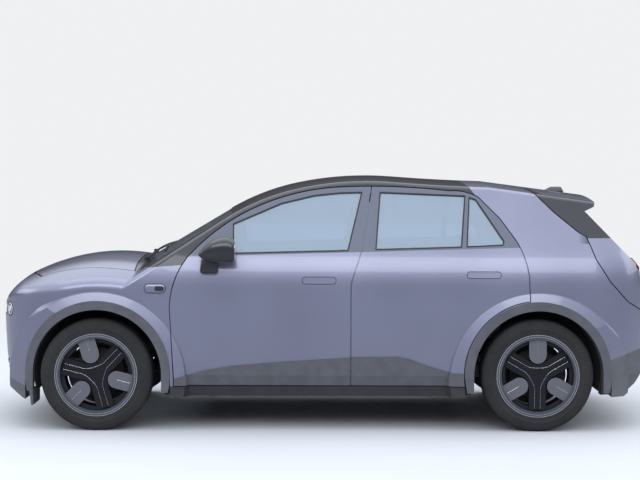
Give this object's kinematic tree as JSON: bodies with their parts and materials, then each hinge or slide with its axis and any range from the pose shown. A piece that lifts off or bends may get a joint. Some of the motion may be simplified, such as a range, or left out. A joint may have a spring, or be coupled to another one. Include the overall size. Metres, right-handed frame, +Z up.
{
  "type": "electric city car",
  "caption": "Compact five-door electric hatchback with steered front wheels, opening doors, bonnet and tailgate.",
  "frame": {"origin": "on the ground under the middle of the car's length and width", "axes": "-X to the front, -Y to the car's left, +Z up"},
  "size_m": [4.0041, 2, 1.5177],
  "materials": {
    "paint": "metallic gloss",
    "gloss_black": "gloss",
    "glass": "tinted",
    "cladding": "grained",
    "underbody": "matt",
    "cast_metal": "satin",
    "block": "satin",
    "seat": "woven",
    "cabin_plastic": "grained",
    "lamp": "clear",
    "tail_lamp": "gloss",
    "tyre": "matt",
    "rim": "satin"
  },
  "bodies": {
    "body": {"floor_pan": "underbody", "side_frame_left": "paint", "side_frame_right": "paint", "roof": "gloss_black", "cowl": "gloss_black", "front_wings": "paint", "front_bumper": "paint", "rear_bumper": "paint", "arch_trims": "cladding", "wheel_liners": "cladding", "windscreen": "glass", "dashboard": "cabin_plastic", "front_seats": "seat", "rear_bench": "seat", "battery_pack": "block", "drive_motor": "block", "front_subframe": "cast_metal", "rear_axle": "cast_metal", "headlamps": "lamp"},
    "bonnet": {"bonnet": "paint"},
    "tailgate": {"tailgate": "paint", "tailgate_glass": "glass", "spoiler": "gloss_black", "tail_lamps": "tail_lamp"},
    "front_door_left": {"front_door_left": "paint", "front_door_glass_left": "glass", "front_door_trim_left": "cladding", "mirror_left": "gloss_black"},
    "rear_door_left": {"rear_door_left": "paint", "rear_door_glass_left": "glass", "rear_door_trim_left": "cladding"},
    "knuckle_left": {"knuckle_left": "cast_metal"},
    "wheel_front_left": {"tyre_front_left": "tyre", "rim_front_left": "rim"},
    "wheel_rear_left": {"tyre_rear_left": "tyre", "rim_rear_left": "rim"},
    "front_door_right": {"front_door_right": "paint", "front_door_glass_right": "glass", "front_door_trim_right": "cladding", "mirror_right": "gloss_black"},
    "rear_door_right": {"rear_door_right": "paint", "rear_door_glass_right": "glass", "rear_door_trim_right": "cladding"},
    "knuckle_right": {"knuckle_right": "cast_metal"},
    "wheel_front_right": {"tyre_front_right": "tyre", "rim_front_right": "rim"},
    "wheel_rear_right": {"tyre_rear_right": "tyre", "rim_rear_right": "rim"},
    "steering_wheel": {"steering_wheel": "cabin_plastic"}
  },
  "joints": [
    {"name": "bonnet_hinge", "type": "hinge", "parent": "body", "child": "bonnet", "pos_m": [-1.128, 0, 1.022], "axis": [0, 1, 0], "range_deg": [0, 52]},
    {"name": "tailgate_hinge", "type": "hinge", "parent": "body", "child": "tailgate", "pos_m": [1.254, 0, 1.463], "axis": [0, -1, 0], "range_deg": [0, 78]},
    {"name": "front_door_left_hinge", "type": "hinge", "parent": "body", "child": "front_door_left", "pos_m": [-0.906, -0.898, 0.7], "axis": [0, 0, -1], "range_deg": [0, 65]},
    {"name": "rear_door_left_hinge", "type": "hinge", "parent": "body", "child": "rear_door_left", "pos_m": [0.17, -0.884, 0.7], "axis": [0, 0, -1], "range_deg": [0, 65]},
    {"name": "steer_left", "type": "hinge", "parent": "body", "child": "knuckle_left", "pos_m": [-1.3375, -0.672, 0.332], "axis": [0, 0, 1], "range_deg": [-35, 35]},
    {"name": "wheel_front_left_spin", "type": "hinge", "parent": "knuckle_left", "child": "wheel_front_left", "pos_m": [-1.3375, -0.7645, 0.332], "axis": [0, 1, 0], "continuous": true},
    {"name": "wheel_rear_left_spin", "type": "hinge", "parent": "body", "child": "wheel_rear_left", "pos_m": [1.2775, -0.7645, 0.332], "axis": [0, 1, 0], "continuous": true},
    {"name": "front_door_right_hinge", "type": "hinge", "parent": "body", "child": "front_door_right", "pos_m": [-0.906, 0.898, 0.7], "axis": [0, 0, 1], "range_deg": [0, 65]},
    {"name": "rear_door_right_hinge", "type": "hinge", "parent": "body", "child": "rear_door_right", "pos_m": [0.17, 0.884, 0.7], "axis": [0, 0, 1], "range_deg": [0, 65]},
    {"name": "steer_right", "type": "hinge", "parent": "body", "child": "knuckle_right", "pos_m": [-1.3375, 0.672, 0.332], "axis": [0, 0, 1], "range_deg": [-35, 35]},
    {"name": "wheel_front_right_spin", "type": "hinge", "parent": "knuckle_right", "child": "wheel_front_right", "pos_m": [-1.3375, 0.7645, 0.332], "axis": [0, 1, 0], "continuous": true},
    {"name": "wheel_rear_right_spin", "type": "hinge", "parent": "body", "child": "wheel_rear_right", "pos_m": [1.2775, 0.7645, 0.332], "axis": [0, 1, 0], "continuous": true},
    {"name": "steering_wheel_turn", "type": "hinge", "parent": "body", "child": "steering_wheel", "pos_m": [-0.455, -0.37, 0.93], "axis": [0.8988, 0, 0.4384], "range_deg": [-500, 500]}
  ],
  "couplings": [
    {"joint": "steer_right", "follows": "steer_left", "ratio": 1},
    {"joint": "steering_wheel_turn", "follows": "steer_left", "ratio": 14}
  ]
}
